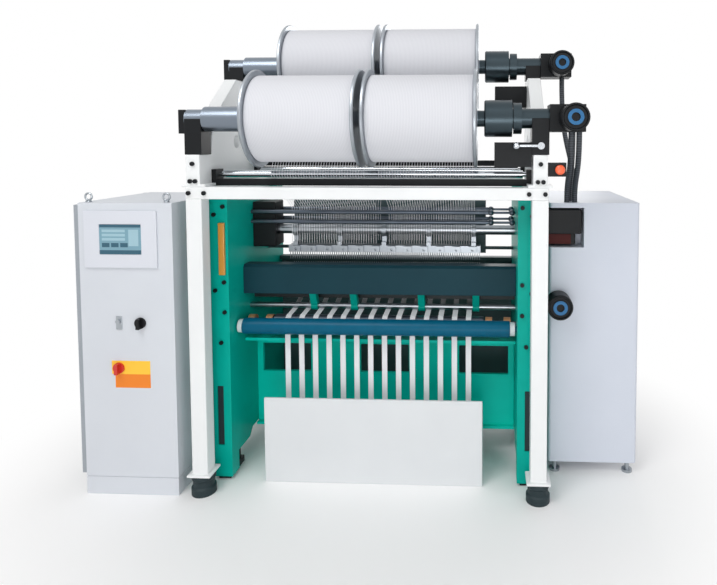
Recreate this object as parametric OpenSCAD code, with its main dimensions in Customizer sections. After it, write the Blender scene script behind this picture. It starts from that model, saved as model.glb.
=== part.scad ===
// Compact double needle bar warp knitting machine with its beam stand,
// control cabinet and drive housing. Millimetres, +Z up, floor at Z = 0.
// The line frame has X = 0 at the middle of the knitting width and Y = 0 at
// the front faces of the stand's posts; on_line() moves it to the footprint's middle.

/* [Overall] */
// Depth of the beam stand over its front and rear posts
stand_d = 1080; // [1060:10:1200]
// Radial clearance of a shaft that turns in a bore
run_fit = 0.05; // [0.02:0.01:0.1]
// Clearance between a soft piece and what it passes
soft_gap = 0.6; // [0.4:0.1:2]

/* [Beam stand] */
// Side of a square post
post_w = 80; // [70:1:90]
// Spacing of the left and right posts, centre to centre
post_span = 1710; // [1690:5:1730]
// Height of the posts' lower ends above the floor
post_bottom = 115; // [95:1:140]
// Side of a post's foot plate
foot_plate_w = 120; // [100:1:140]
// Thickness of a post's foot plate
foot_plate_t = 12; // [8:1:16]
// Height of the stand over its cross beams
stand_h = 1575; // [1560:1:1590]
// Height of a cross beam and of a side rail
cross_h = 60; // [50:1:80]
// Diameter of a vibration mount
mount_d = 120; // [100:1:140]

/* [Stand plates] */
// Thickness of a cast stand plate
stand_plate_t = 70; // [50:1:80]
// Height of the front bearing seat above the cross beams
front_seat_h = 160; // [140:1:170]
// Depth of the front bearing seat
front_seat_d = 120; // [110:1:130]
// Height of the rear bearing seat above the cross beams
rear_seat_h = 575; // [560:1:585]
// Length of the rear bearing seat
rear_seat_l = 200; // [160:1:240]
// Diameter of a lightening hole in a stand plate
plate_hole_d = 70; // [40:1:90]
// Width of the foot flange of a stand plate
plate_flange_w = 120; // [100:1:130]
// Thickness of the foot flange of a stand plate
plate_flange_t = 14; // [8:1:20]

/* [Warp beams] */
// Distance of the front beam's axis behind the post fronts
front_beam_y = 60; // [55:1:65]
// Height of the front beam's axis
front_beam_z = 1912; // [1890:1:1930]
// Distance of the rear beam's axis behind the post fronts
rear_beam_y = 570; // [550:1:590]
// Height of the rear beam's axis
rear_beam_z = 2230; // [2225:1:2260]
// Diameter of a beam flange
flange_d = 484; // [460:1:500]
// Thickness of a beam flange
flange_t = 16; // [10:1:20]
// Width of a sectional beam over its flanges
spool_w = 535; // [500:1:545]
// Gap between the two sectional beams of a shaft
spool_gap = 28; // [10:1:40]
// Diameter of a sectional beam's barrel
barrel_d = 150; // [130:1:200]
// Diameter of the yarn wound on a beam
yarn_d = 428; // [300:1:440]
// Diameter of a beam shaft inside the barrels
shaft_d = 80; // [60:1:100]
// Diameter of the bearing sleeves on a beam shaft
sleeve_d = 125; // [100:1:130]
// Diameter of the drive drum on a beam shaft
drum_d = 180; // [150:1:200]
// Width of the drive drum on a beam shaft
drum_w = 135; // [100:1:145]
// Diameter of the drive stub at the right end of a beam shaft
stub_d = 50; // [40:1:60]
// Width of a bearing block
bearing_w = 84; // [70:1:90]
// Depth of a bearing block
bearing_d = 106; // [100:1:116]

/* [Let-off drives] */
// Side of a bevel gear unit, across and up
gear_side = 132; // [120:1:140]
// Length of a bevel gear unit along the beam
gear_l = 172; // [160:1:180]
// Diameter of a drive motor
motor_d = 132; // [120:1:140]
// Length of a drive motor
motor_l = 105; // [90:1:110]
// Distance of a let-off motor's axis from the gear unit's inner face
motor_in = 106; // [95:1:110]
// Width of a brake block under a drive drum
brake_w = 180; // [150:1:190]
// Depth of a brake block
brake_d = 96; // [80:1:100]
// Height of a brake block
brake_h = 120; // [100:1:130]
// Gap between a brake block and its drive drum
brake_gap = 26; // [20:1:34]
// Height of the take-up motor's axis
take_up_motor_z = 945; // [900:1:980]

/* [Machine frame] */
// Least clear width between the side walls
bed_in = 1510; // [1490:2:1520]
// Thickness of a side wall
wall_t = 95; // [80:1:96]
// Distance of the walls' front edges behind the post fronts
wall_y = 150; // [130:1:160]
// Depth of a side wall
wall_d = 810; // [790:1:830]
// Height of the walls' lower edges
wall_z = 118; // [110:1:140]
// Depth of the foot at a wall's front
wall_foot_d = 84; // [70:1:90]
// Depth of the cast pockets in a wall's outer face
pocket_t = 40; // [20:1:50]
// Distance of the bed panel behind the post fronts
bed_y = 505; // [495:1:520]
// Thickness of the bed panel
bed_t = 25; // [15:1:30]
// Height of the bed panel's lower edge
bed_z = 140; // [130:1:160]
// Height of the bed's top ledge
ledge_z = 705; // [690:1:715]
// Depth of the bed's top ledge in front of the panel
ledge_d = 165; // [120:1:170]
// Width of a bed window
window_w = 285; // [240:1:287]
// Height of a bed window
window_h = 166; // [140:1:180]
// Height of the windows' lower edges
window_z = 452; // [430:1:470]
// Spacing of the bed windows
window_pitch = 578; // [560:1:590]
// Height of the rear panel's lower edge
rear_z = 170; // [150:1:220]
// Height of the rear panel
rear_h = 890; // [820:1:920]
// Thickness of the rear panel
rear_t = 16; // [10:1:24]
// Height of a rib of the rear panel
rear_rib_h = 24; // [16:1:30]
// Depth of a rib of the rear panel
rear_rib_d = 60; // [40:1:80]
// Distance of the rear panel inside the walls' rear edges
panel_in = 10; // [5:1:20]
// Distance of the rear guard behind the swing shaft's axis
guard_off = 157; // [140:1:180]
// Height of the rear guard's lower edge
guard_z = 1125; // [1110:1:1140]
// Height of the rear guard
guard_h = 360; // [330:1:370]
// Distance of the cover beam behind the post fronts
cover_y = 330; // [325:1:335]
// Depth of the cover beam
cover_d = 85; // [80:1:88]
// Height of the cover beam's lower edge
cover_z = 958; // [945:1:970]
// Height of the cover beam
cover_h = 162; // [140:1:170]

/* [Take-up] */
// Diameter of the front roller
roller_d = 86; // [80:1:90]
// Distance of the front roller's axis behind the post fronts
roller_y = 250; // [240:1:255]
// Height of the front roller's axis
roller_z = 802; // [795:1:806]
// Diameter of the nip roller
nip_d = 80; // [70:1:84]
// Gap between the front roller and the nip roller
nip_gap = 4; // [3.5:0.1:5]
// Diameter of the fabric rod under the cover beam
rod_d = 32; // [26:1:36]
// Distance of the fabric rod's axis behind the post fronts
rod_y = 430; // [424:1:436]
// Height of the fabric rod's axis
rod_z = 868; // [864:1:880]
// Width of a rod bracket
bracket_w = 38; // [30:1:40]
// Diameter of the rollers' journals
journal_d = 30; // [24:1:34]
// Length of a journal inside a wall
journal_in = 45; // [30:1:60]
// Length of a roller's end cap or collar
collar_w = 26; // [15:1:30]

/* [Fabric] */
// Count of knitted tapes
tape_n = 14; // [8:1:16]
// Spacing of the knitted tapes
tape_pitch = 76.5; // [70:0.5:80]
// Width of a knitted tape
tape_w = 29; // [15:1:34]
// Thickness of a knitted tape
tape_t = 1.2; // [0.8:0.1:1.8]
// Width of the fabric bin
bin_w = 1150; // [1100:5:1200]
// Distance of the bin's front behind the post fronts
bin_y = 140; // [130:1:145]
// Depth of the fabric bin
bin_d = 300; // [280:1:310]
// Height of the bin's front
bin_h = 452; // [440:1:470]
// Height of the bin's back
bin_back_h = 240; // [200:1:250]
// Wall of the fabric bin
bin_wall = 12; // [8:1:16]

/* [Knitting elements] */
// Distance of the needle bed's front behind the post fronts
needle_bed_y = 478; // [476:1:482]
// Depth of the needle bed
needle_bed_d = 130; // [124:1:134]
// Height of the needle bed's top
needle_bed_z = 985; // [975:1:990]
// Height of the needle bed
needle_bed_h = 85; // [70:1:90]
// Working width of the needle and guide bars
work_w = 1118; // [1000:2:1140]
// Room between the working width and a side wall
end_room = 196; // [190:1:196]
// Spacing of the modelled needles and guides
needle_pitch = 13; // [12:0.5:20]
// Width of a needle or guide
needle_w = 4; // [2:0.5:6]
// Height of a needle above its bar
needle_h = 46; // [40:1:48]
// Height of a needle bar
needle_bar_h = 58; // [50:1:60]
// Thickness of a needle bar
needle_bar_t = 22; // [18:1:26]
// Lift of a needle bar
needle_lift = 14; // [10:1:16]
// Diameter of the swing shaft
swing_d = 56; // [40:1:60]
// Height of the swing shaft's axis
swing_z = 1290; // [1280:1:1300]
// Length of the swing drive's case along the shaft
case_l = 132; // [120:1:150]
// Depth of the swing drive's case
case_d = 138; // [120:1:140]
// Reach of the swing drive's case above the shaft
case_above = 165; // [140:1:180]
// Reach of the swing drive's case below the shaft
case_below = 95; // [80:1:100]
// Height of the guides' tips
guide_tip_z = 1118; // [1116:1:1124]
// Height of a guide bar
guide_bar_h = 40; // [30:1:44]
// Thickness of a guide bar
guide_bar_t = 24; // [20:1:28]
// Length of a guide below its bar
guide_h = 42; // [36:1:44]
// Thickness of a hanger
hanger_t = 26; // [20:1:30]

/* [Yarn path] */
// Diameter of a guide tube
tube_d = 38; // [30:1:40]
// Height of the guide tubes' axes
tube_z = 1632; // [1626:1:1640]
// Distance of the front guide tube's axis behind the post fronts
front_tube_y = 180; // [170:1:190]
// Distance of the rear guide tube's axis behind the post fronts
rear_tube_y = 690; // [670:1:700]
// Height of the reed bars' axes
reed_z = 1400; // [1390:1:1410]
// Diameter of a reed bar
reed_d = 24; // [18:1:28]
// Drop of the lower reed bars below the upper ones
reed_step = 56; // [50:1:60]
// Length of the reed bars' links at the right wall
reed_link_l = 150; // [130:1:170]
// Count of the modelled warp yarns of each spool
yarn_n = 35; // [15:1:40]
// Thickness of a modelled warp yarn
yarn_t = 2; // [1:0.1:3]

/* [Control cabinet] */
// Gap between the cabinet and the left side wall
cab_gap = 116; // [100:1:140]
// Width of the cabinet's body
cab_w = 480; // [460:1:500]
// Depth of the cabinet
cab_d = 630; // [600:5:700]
// Height of the cabinet
cab_h = 1495; // [1450:5:1550]
// Height of the cabinet's plinth
plinth_h = 90; // [60:1:110]
// Wall of the cabinet, over its folded edges
cab_wall = 20; // [15:1:30]
// Thickness of the cabinet's side door
door_t = 30; // [20:1:32]
// Distance of the door's edges inside the cabinet's edges
door_inset = 12; // [5:1:20]
// Width of the operator panel
panel_w = 372; // [340:1:380]
// Height of the operator panel
panel_h = 286; // [260:1:300]
// Distance of the operator panel's middle below the cabinet's top
panel_drop = 182; // [175:1:195]
// Thickness of the operator panel
panel_t = 10; // [6:1:14]
// Width of the screen
screen_w = 214; // [190:1:230]
// Height of the screen
screen_h = 152; // [140:1:160]
// Diameter of the rotary switches' knobs
knob_d = 56; // [40:1:60]

/* [Drive housing] */
// Gap between the right side wall and the drive housing
hous_gap = 80; // [70:1:90]
// Width of the drive housing
hous_w = 474; // [460:1:490]
// Depth of the drive housing
hous_d = 790; // [760:1:800]
// Distance of the housing's front behind the post fronts
hous_y = 283; // [275:1:295]
// Height of the housing's top
hous_h = 1475; // [1460:1:1500]
// Height of the housing's feet
hous_foot_h = 65; // [50:1:80]
// Width of the pattern drive on the housing's front
pattern_w = 170; // [150:1:190]
// Depth of the pattern drive
pattern_d = 103; // [90:1:110]
// Height of the pattern drive
pattern_h = 188; // [160:1:200]
// Distance of the pattern drive's top below the side walls' tops
pattern_drop = 78; // [70:1:90]

/* [Hidden] */
$fn = 64;

// Stand
post_x = post_span / 2;
rail_z = stand_h - cross_h;
rear_post_y = stand_d - post_w / 2;
front_y = front_beam_y - flange_d / 2;
back_y = rear_post_y + mount_d / 2;
frame_y = -(front_y + back_y) / 2;
front_seat_z = stand_h + front_seat_h;
rear_seat_z = stand_h + rear_seat_h;
plate_in = post_x - stand_plate_t / 2;

// Beams
barrel_bore = shaft_d + 0.4;
sleeve_j = 0.78 * sleeve_d;
beams_half = spool_gap / 2 + spool_w;
shaft_end = post_x + bearing_w / 2 + 4;
hub_gap = 12;
disc_w = 40;
bearing_out = post_x + bearing_w / 2;
bearing_in = post_x - bearing_w / 2;
motor_x = bearing_out + motor_in;

// Frame
wall_in = max(bed_in, work_w + 2 * end_room) / 2;
wall_out = wall_in + wall_t;
wall_top = rail_z;
wall_end = wall_y + wall_d;
bore_depth = journal_in + 5;
foot_pad_t = 16;

// Take-up
nip_y = roller_y + roller_d / 2 + nip_gap + nip_d / 2;
nip_z = roller_z;
roller_half = wall_in - 36;
nip_half = work_w / 2 + 20;
tape_off = soft_gap + tape_t / 2;
tape_y = nip_y - nip_d / 2 - tape_off;

// Knitting elements
front_needle_y = needle_bed_y + 26;
rear_needle_y = needle_bed_y + needle_bed_d - 26;
swing_y = needle_bed_y + needle_bed_d / 2;
front_guide_y = swing_y - 22;
rear_guide_y = swing_y + 22;
guide_bar_z = guide_tip_z + guide_h;
guide_top_z = guide_bar_z + guide_bar_h;
reed_off = 84;
pin_d = 16;
pin_l = needle_bed_h - 15;
hanger_x = [for (k = [-2 : 2]) k * (work_w / 4 - 20)];
bracket_at = [-5, -2, 3, 7];

// Cabinet and housing
cab_in = -wall_out - cab_gap;
cab_x = cab_in - cab_w;
cab_out = cab_x - door_t;
door_gap = 4;
hinge_d = 10;
hinge_x = cab_out + 14;
hinge_y = cab_d - door_inset - 9;
cab_mid = cab_x + cab_w / 2;
panel_z = cab_h - panel_drop;
switch_z = 0.44 * cab_h;
selector_z = 0.595 * cab_h;
trunk_y = wall_y + wall_d / 3;
trunk_z = 0.74 * cab_h;
trunk_h = 70;
trunk_w = 100;
hous_x = wall_out + hous_gap;
hous_out = hous_x + hous_w;
line_x = -(cab_out + hous_out) / 2;
notch_room = 12;
notch_under = 38;
pattern_high = min(wall_top - pattern_drop, hous_h - notch_under);
pattern_low = pattern_high - pattern_h;

// Stop button and bearing lock lever
stop_x = post_x + stand_plate_t / 2 + 60;
stop_y = 30;
stop_z = 1663;
stop_stem_d = 22;
lever_z = front_seat_z + 44;

// Yarn path in the YZ plane: off the beam's rear side, round a tube behind it (1) or below it (-1)
function on_circle(c, r, a) = c + r * [cos(a), sin(a)];
function arc_points(c, r, a0, a1, n) = [for (i = [0 : n]) on_circle(c, r, a0 + (a1 - a0) * i / n)];
function heading(v) = atan2(v[1], v[0]);
function warp_path(beam, tube, over, reed, low) =
    let (
        r1 = yarn_d / 2 + soft_gap + yarn_t / 2,
        r2 = tube_d / 2 + soft_gap + yarn_t / 2,
        a1 = heading(tube - beam) + acos((r1 - over * r2) / norm(tube - beam)),
        a2 = over > 0 ? a1 : a1 + 180,
        wrap = acos(r2 / norm(reed - tube)),
        a3 = heading(reed - tube) + (over > 0 ? wrap : 360 - wrap)
    )
    concat([on_circle(beam, r1, a1)], arc_points(tube, r2, a2, a3, over > 0 ? 2 : 5), [reed, low]);

// A strip of even thickness that follows a path in the YZ plane
function unit(v) = v / norm(v);
function path_dir(p, i) = unit(p[min(i + 1, len(p) - 1)] - p[max(i - 1, 0)]);
function path_side(p, t, s) = [
    for (i = [0 : len(p) - 1])
        let (d = path_dir(p, i))
        p[i] + s * t / 2 * [-d[1], d[0]]
];
function reversed(p) = [for (i = [len(p) - 1 : -1 : 0]) p[i]];
function strip(p, t) = concat(path_side(p, t, 1), reversed(path_side(p, t, -1)));

// A round cable along points in space
cable_d = 30;
cable_sides = 10;
function cable_dir(p, i) = i == 0 || i == len(p) - 1 ? [0, 0, -1] : unit(p[i + 1] - p[i - 1]);
function cable_ring(p, i) =
    let (
        d = cable_dir(p, i),
        u = unit(cross(d, [1, 0.05, 0])),
        v = cross(d, u)
    )
    [for (k = [0 : cable_sides - 1])
        let (a = 360 * k / cable_sides)
        p[i] + cable_d / 2 * (cos(a) * u + sin(a) * v)];
// A cable falls from a gear unit, bends back and stands on the housing's roof
cable_n = 16;
function bezier(a, b, c, d, t) =
    pow(1 - t, 3) * a + 3 * pow(1 - t, 2) * t * b + 3 * (1 - t) * t * t * c + pow(t, 3) * d;
function cable_route(from, to) =
    let (drop = from[2] - to[2])
    [for (i = [0 : cable_n])
        bezier(from, from - [0, 0, 0.66 * drop], to + [0, 0, 0.45 * drop], to, i / cable_n)];
function gear_foot(dx, y, z) = [bearing_out + dx, y, z - gear_side / 2];
function roof_point(dx, dy) = [hous_x + dx, hous_y + dy, hous_h];
cable_routes = [
    cable_route(gear_foot(108, front_beam_y - 24, front_beam_z), roof_point(96, 52)),
    cable_route(gear_foot(146, front_beam_y - 24, front_beam_z), roof_point(138, 52)),
    cable_route(gear_foot(122, front_beam_y + 30, front_beam_z), roof_point(116, 100)),
    cable_route(gear_foot(126, rear_beam_y, rear_beam_z), roof_point(150, 160))
];

// Moves the line frame to the middle of the footprint
module on_line() {
    translate([line_x, frame_y, 0])
        children();
}

// A box between two corners
module block(low, high) {
    translate(low)
        cube(high - low);
}

// A round bar along X, along Y or upright
module bar_x(x0, x1, y, z, d) {
    translate([x0, y, z])
        rotate([0, 90, 0])
            cylinder(d = d, h = x1 - x0);
}

module bar_y(x, y0, y1, z, d) {
    translate([x, y0, z])
        rotate([-90, 0, 0])
            cylinder(d = d, h = y1 - y0);
}

module bar_z(x, y, z0, z1, d) {
    translate([x, y, z0])
        cylinder(d = d, h = z1 - z0);
}

// A shape drawn in the YZ plane, extruded along X
module along_x(x0, x1) {
    translate([x0, 0, 0])
        rotate([90, 0, 90])
            linear_extrude(x1 - x0)
                children();
}

// A profile of [radius, X] turned about a line along X
module turned_x(y, z) {
    translate([0, y, z])
        rotate([0, 90, 0])
            rotate_extrude()
                children();
}

// An upright box with round vertical corners
module rounded_column(low, high, r) {
    size = high - low;
    translate(low)
        linear_extrude(size[2]) {
            translate([r, 0])
                square([size[0] - 2 * r, size[1]]);
            translate([0, r])
                square([size[0], size[1] - 2 * r]);
            for (x = [r, size[0] - r], y = [r, size[1] - r])
                translate([x, y])
                    circle(r);
        }
}

module posts() {
    on_line()
        color("white")
            for (s = [-1, 1], y = [post_w / 2, rear_post_y])
                translate([s * post_x, y, 0]) {
                    translate([-post_w / 2, -post_w / 2, post_bottom])
                        cube([post_w, post_w, rail_z - post_bottom]);
                    translate([-foot_plate_w / 2, -foot_plate_w / 2, post_bottom - foot_plate_t])
                        cube([foot_plate_w, foot_plate_w, foot_plate_t]);
                }
}

// Front and rear cross beams, and the side rails between them
module top_rails() {
    reach = post_x + post_w / 2;
    on_line()
        color("white") {
            for (y = [0, stand_d - post_w])
                block([-reach, y, rail_z], [reach, y + post_w, stand_h]);
            for (s = [-1, 1])
                translate([s * post_x, 0, 0])
                    block(
                        [-post_w / 2, post_w, rail_z],
                        [post_w / 2, stand_d - post_w, stand_h]
                    );
        }
}

module vibration_mounts() {
    h = post_bottom - foot_plate_t;
    r = mount_d / 2;
    on_line()
        color("darkslategray")
            for (s = [-1, 1], y = [post_w / 2, rear_post_y])
                translate([s * post_x, y, 0])
                    rotate_extrude()
                        polygon([
                            [0, 0], [r, 0], [r, 0.34 * h], [0.86 * r, 0.42 * h], [0.86 * r, 0.7 * h],
                            [0.97 * r, 0.78 * h], [0.97 * r, h - 8], [0.9 * r, h], [0, h]
                        ]);
}

// Outline of a stand plate: a front seat, a raked edge and a rear seat
module stand_outline() {
    polygon([
        [0, stand_h], [0, front_seat_z], [front_seat_d, front_seat_z],
        [front_seat_d + 30, front_beam_z], [rear_beam_y - rear_seat_l / 2 - 30, rear_seat_z],
        [rear_beam_y + rear_seat_l / 2, rear_seat_z], [rear_beam_y + rear_seat_l / 2 + 60, stand_h]
    ]);
}

module stand_plate(s) {
    hole_y = [rear_beam_y - 60, rear_beam_y - 100, rear_beam_y - 140];
    hole_step = 130;
    difference() {
        union() {
            translate([s * post_x, 0, 0])
                along_x(-stand_plate_t / 2, stand_plate_t / 2)
                    stand_outline();
            translate([s * post_x, 0, 0])
                block(
                    [-plate_flange_w / 2, 0, stand_h],
                    [plate_flange_w / 2, front_seat_d, stand_h + plate_flange_t]
                );
        }
        for (i = [0 : 2])
            bar_x(
                s * post_x - stand_plate_t, s * post_x + stand_plate_t,
                hole_y[i], rear_seat_z - 90 - i * hole_step, plate_hole_d
            );
    }
}

module left_stand_plate() {
    on_line()
        color("white")
            stand_plate(-1);
}

module right_stand_plate() {
    on_line()
        color("white")
            stand_plate(1);
}

// A bearing block with an open half-round seat for a beam shaft's sleeve
module bearing_block(y, seat_z, axis_z) {
    difference() {
        block(
            [-bearing_w / 2, y - bearing_d / 2, seat_z],
            [bearing_w / 2, y + bearing_d / 2, axis_z]
        );
        bar_x(-bearing_w, bearing_w, y, axis_z, sleeve_j + 2 * run_fit);
    }
}

module beam_bearings() {
    stop_t = 34;
    stop_d = 70;
    stop_up = 46;
    stop_low = sleeve_j / 2 + 4;
    on_line()
        color("black")
            for (b = [[front_beam_y, front_seat_z, front_beam_z], [rear_beam_y, rear_seat_z, rear_beam_z]]) {
                for (s = [-1, 1])
                    translate([s * post_x, 0, 0])
                        bearing_block(b[0], b[1], b[2]);
                translate([-shaft_end, 0, 0])
                    block(
                        [-stop_t, b[0] - stop_d / 2, b[2] - stop_low],
                        [-0.3, b[0] + stop_d / 2, b[2] + stop_up]
                    );
                translate([-shaft_end, 0, 0])
                    block(
                        [-stop_t, b[0] - stop_d / 2, b[2] - stop_low - 20],
                        [shaft_end - bearing_out, b[0] + stop_d / 2, b[2] - stop_low]
                    );
            }
}

// One beam shaft: sleeves in the bearings, a drive drum at the right and a stub into the gear unit
module beam_shaft(y, z) {
    j = sleeve_j / 2;
    r = sleeve_d / 2;
    j_in = post_x - bearing_w / 2 - 3;
    left_hub = beams_half + hub_gap;
    drum_x = beams_half + 34;
    disc_x = drum_x + drum_w + 6;
    turned_x(y, z)
        polygon([
            [0, -shaft_end + 0.5], [j, -shaft_end + 0.5], [j, -j_in], [r, -j_in], [r, -left_hub],
            [shaft_d / 2, -left_hub], [shaft_d / 2, drum_x], [drum_d / 2 - 6, drum_x],
            [drum_d / 2, drum_x + 6], [drum_d / 2, drum_x + drum_w], [j, drum_x + drum_w],
            [j, disc_x], [drum_d * 0.42, disc_x], [drum_d * 0.42, disc_x + disc_w],
            [j, disc_x + disc_w], [j, bearing_out], [stub_d / 2, bearing_out],
            [stub_d / 2, bearing_out + motor_in], [0, bearing_out + motor_in]
        ]);
}

module front_beam_shaft() {
    on_line()
        color("slategray")
            beam_shaft(front_beam_y, front_beam_z);
}

module rear_beam_shaft() {
    on_line()
        color("slategray")
            beam_shaft(rear_beam_y, rear_beam_z);
}

// Half outline of a spool as [radius, X], from its middle to one end
function spool_half(e) =
    let (r = flange_d / 2, b = barrel_d / 2, w = e * spool_w / 2, lip = 5, back = 3)
    [
        [b, w - e * flange_t], [r - back, w - e * flange_t], [r, w - e * (flange_t - back)],
        [r, w - e * lip], [r - lip, w], [b + 26, w], [b - 12, w - e * 4], [barrel_bore / 2, w - e * 4]
    ];

// One flanged spool on side s of the gap
module spool(s, y, z) {
    translate([s * (spool_gap / 2 + spool_w / 2), 0, 0])
        turned_x(y, z)
            polygon(concat(spool_half(1), reversed(spool_half(-1))));
}

module front_left_spool() {
    on_line()
        color("silver")
            spool(-1, front_beam_y, front_beam_z);
}

module front_right_spool() {
    on_line()
        color("silver")
            spool(1, front_beam_y, front_beam_z);
}

module rear_left_spool() {
    on_line()
        color("silver")
            spool(-1, rear_beam_y, rear_beam_z);
}

module rear_right_spool() {
    on_line()
        color("silver")
            spool(1, rear_beam_y, rear_beam_z);
}

// The yarn wound between the flanges of both spools of a shaft
module yarn_packs(y, z) {
    half = spool_w / 2 - flange_t;
    shoulder = 5;
    for (s = [-1, 1])
        translate([s * (spool_gap / 2 + spool_w / 2), 0, 0])
            turned_x(y, z)
                polygon([
                    [barrel_d / 2, -half], [yarn_d / 2 - shoulder, -half], [yarn_d / 2, -half + shoulder],
                    [yarn_d / 2, half - shoulder], [yarn_d / 2 - shoulder, half], [barrel_d / 2, half]
                ]);
}

module front_yarn_packs() {
    on_line()
        color("whitesmoke")
            yarn_packs(front_beam_y, front_beam_z);
}

module rear_yarn_packs() {
    on_line()
        color("whitesmoke")
            yarn_packs(rear_beam_y, rear_beam_z);
}

// Bevel gear units at the shafts' right ends, and the brake blocks under the drive drums
module let_off_gear_units() {
    side = gear_side / 2;
    neck = 14;
    on_line()
        color("black")
            for (b = [[front_beam_y, front_beam_z, bearing_in], [rear_beam_y, rear_beam_z, plate_in]]) {
                difference() {
                    union() {
                        block(
                            [bearing_out, b[0] - side, b[1] - side],
                            [bearing_out + gear_l, b[0] + side, b[1] + side]
                        );
                        bar_y(motor_x, b[0] - side - neck, b[0] - side + 1, b[1], motor_d - 12);
                    }
                    bar_x(bearing_out - 1, bearing_out + motor_in + 4, b[0], b[1], stub_d + 2 * run_fit);
                }
                translate([b[2], b[0], b[1] - drum_d / 2 - brake_gap])
                    block([-brake_w, -brake_d / 2, -brake_h], [0, brake_d / 2, 0]);
            }
}

// A drive motor along Y with its front face at y
module drive_motor(x, y, z) {
    rim = motor_d / 2;
    translate([x, y, z])
        rotate([-90, 0, 0])
            rotate_extrude()
                polygon([
                    [0, 6], [0.3 * rim, 6], [0.3 * rim, 0], [0.52 * rim, 0], [0.52 * rim, 7],
                    [0.8 * rim, 7], [0.86 * rim, 0], [rim - 5, 0], [rim, 5], [rim, motor_l], [0, motor_l]
                ]);
}

module let_off_motors() {
    on_line()
        color("black")
            for (b = [[front_beam_y, front_beam_z], [rear_beam_y, rear_beam_z]])
                drive_motor(motor_x, b[0] - gear_side / 2 - 14 - motor_l, b[1]);
}

module take_up_motor() {
    on_line()
        color("black") {
            drive_motor(hous_x + 46, hous_y - motor_l - 20, take_up_motor_z);
            bar_y(hous_x + 46, hous_y - 20, hous_y, take_up_motor_z, motor_d - 30);
        }
}

// Outline of a side wall, with a foot at its front and a raised lower edge
module wall_outline() {
    leg_d = 230;
    arch = 40;
    polygon([
        [wall_y, foot_pad_t], [wall_y + wall_foot_d, foot_pad_t], [wall_y + wall_foot_d, wall_z],
        [wall_y + leg_d, wall_z], [wall_y + leg_d + arch, wall_z + arch],
        [wall_end - 0.6 * leg_d - arch, wall_z + arch], [wall_end - 0.6 * leg_d, wall_z], [wall_end, wall_z],
        [wall_end, wall_top], [wall_y, wall_top]
    ]);
}

module side_wall(s) {
    rib = 60;
    slot_w = 34;
    slot_d = 30;
    pocket_top = 640;
    difference() {
        along_x(s < 0 ? -wall_out : wall_in, s < 0 ? -wall_in : wall_out)
            wall_outline();
        for (z = [[wall_z + 110, pocket_top], [pocket_top + rib, wall_top - rib]])
            translate([s * (wall_out - pocket_t / 2), 0, 0])
                block(
                    [-pocket_t / 2 - 0.01, wall_y + rib, z[0]],
                    [pocket_t / 2 + 0.01, wall_end - rib, z[1]]
                );
        translate([s * (wall_in + wall_t * 0.6), 0, 0])
            block([-slot_w / 2, wall_y - 1, wall_z + 70], [slot_w / 2, wall_y + slot_d, wall_z + 390]);
        wall_bores(s);
    }
}

// Blind bores in a wall for the swing shaft, the fabric rod and the rollers' journals
module wall_bores(s) {
    spots = [
        [roller_y, roller_z, journal_d], [nip_y, nip_z, journal_d],
        [rod_y, rod_z, rod_d], [swing_y, swing_z, swing_d]
    ];
    for (p = spots)
        bar_x(
            s < 0 ? -wall_in - bore_depth : wall_in - 1, s < 0 ? -wall_in + 1 : wall_in + bore_depth,
            p[0], p[1], p[2] + 2 * run_fit
        );
}

module left_side_wall() {
    on_line()
        color("darkcyan")
            side_wall(-1);
}

module right_side_wall() {
    on_line()
        color("darkcyan")
            side_wall(1);
}

module bed_panel() {
    lip_t = 16;
    on_line()
        color("darkcyan")
            difference() {
                union() {
                    block([-wall_in, bed_y, bed_z], [wall_in, bed_y + bed_t, ledge_z]);
                    block([-wall_in, bed_y - ledge_d, ledge_z - lip_t], [wall_in, bed_y, ledge_z]);
                    block([-wall_in, bed_y - 30, bed_z], [wall_in, bed_y, bed_z + lip_t]);
                }
                for (i = [-1 : 1])
                    block(
                        [i * window_pitch - window_w / 2, bed_y - 1, window_z],
                        [i * window_pitch + window_w / 2, bed_y + bed_t + 1, window_z + window_h]
                    );
            }
}

// Panel between the walls' rear edges, stiffened by a rib at its top and bottom
module rear_panel() {
    back = wall_end - panel_in;
    on_line()
        color("darkcyan") {
            block([-wall_in, back - rear_t, rear_z], [wall_in, back, rear_z + rear_h]);
            for (z = [rear_z, rear_z + rear_h - rear_rib_h])
                block([-wall_in, back - rear_rib_d, z], [wall_in, back, z + rear_rib_h]);
        }
}

// Sheet guard behind the knitting elements, on two bars between the walls
module rear_guard() {
    bar_d = 20;
    sheet_t = 4;
    y = swing_y + guard_off;
    on_line()
        color("dimgray") {
            block([-work_w / 2 - 30, y, guard_z], [work_w / 2 + 30, y + sheet_t, guard_z + guard_h]);
            for (z = [guard_z + 30, guard_z + guard_h - 30])
                bar_x(-wall_in, wall_in, y + sheet_t + bar_d / 2 - 2, z, bar_d);
        }
}

// Levelling feet under the walls, and pads under their front feet
module machine_feet() {
    side = 64;
    pad_h = 34;
    stem_d = 46;
    top_t = 18;
    on_line()
        color("black")
            for (s = [-1, 1])
                translate([s * (wall_in + wall_t / 2), 0, 0]) {
                    for (y = [wall_y + 155, wall_end - 55])
                        translate([0, y, 0]) {
                            translate([-side / 2, -side / 2, 0])
                                cube([side, side, pad_h]);
                            bar_z(0, 0, pad_h - 1, wall_z - top_t + 1, stem_d);
                            translate([-side / 2, -side / 2, wall_z - top_t])
                                cube([side, side, top_t]);
                        }
                    translate([-side / 2, wall_y + wall_foot_d / 2 - side / 2, 0])
                        cube([side, side, foot_pad_t]);
                }
}

module cover_beam() {
    edge = 14;
    on_line()
        color("darkslategray")
            along_x(-wall_in, wall_in)
                polygon([
                    [cover_y, cover_z], [cover_y + cover_d, cover_z], [cover_y + cover_d, cover_z + cover_h],
                    [cover_y + edge, cover_z + cover_h], [cover_y, cover_z + cover_h - edge]
                ]);
}

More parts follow.
